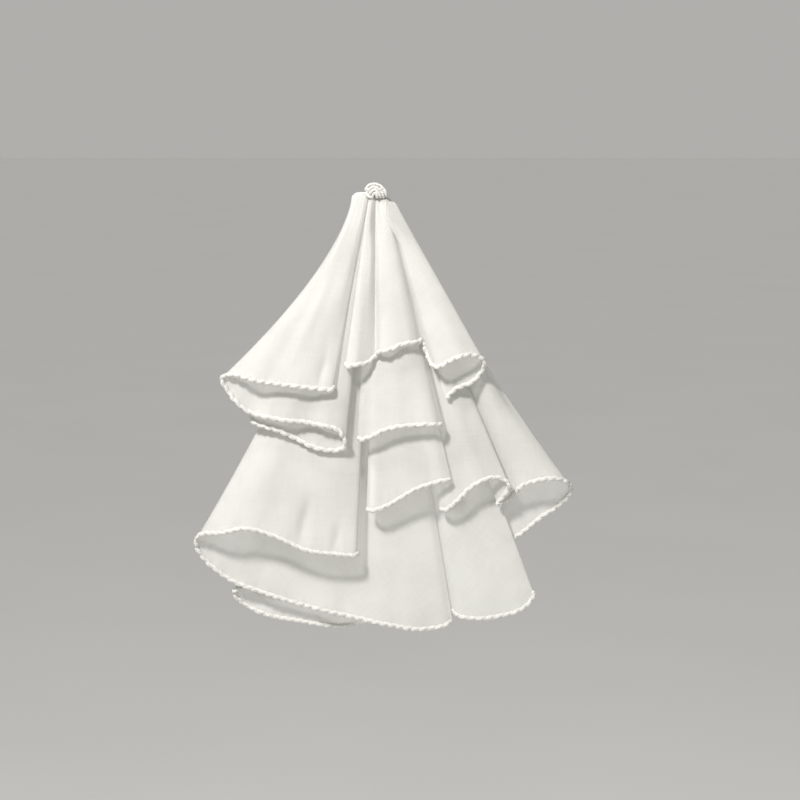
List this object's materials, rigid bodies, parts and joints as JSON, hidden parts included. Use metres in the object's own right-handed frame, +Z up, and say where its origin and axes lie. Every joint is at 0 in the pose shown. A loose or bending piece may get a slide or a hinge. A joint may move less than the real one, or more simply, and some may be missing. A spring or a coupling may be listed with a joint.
{
  "type": "detachable ruffled collar",
  "caption": "white chiffon jabot: tiers of folded ruffles with beaded edging that fan out from a small knot and pin on at the throat",
  "frame": {"origin": "middle of the back face of the pin's plate, behind the gathered head, where the jabot pins on to a shirt collar", "axes": "+Z up along the wearer's front, -Y away from the wearer, +X to the right seen from the front"},
  "size_m": [0.2398, 0.0665, 0.2848],
  "materials": {
    "chiffon": "fine matt off-white chiffon, slightly see-through",
    "edging": "thick white thread in beaded picot stitches with a slight sheen",
    "pin_steel": "plain plated steel"
  },
  "bodies": {
    "root": {"ruffle_top_left": "chiffon", "ruffle_top_right": "chiffon", "ruffle_middle": "chiffon", "ruffle_third_centre": "chiffon", "ruffle_third_right": "chiffon", "ruffle_low_left": "chiffon", "ruffle_back": "chiffon", "knot": "edging", "collar_pin": "pin_steel"}
  },
  "joints": []
}
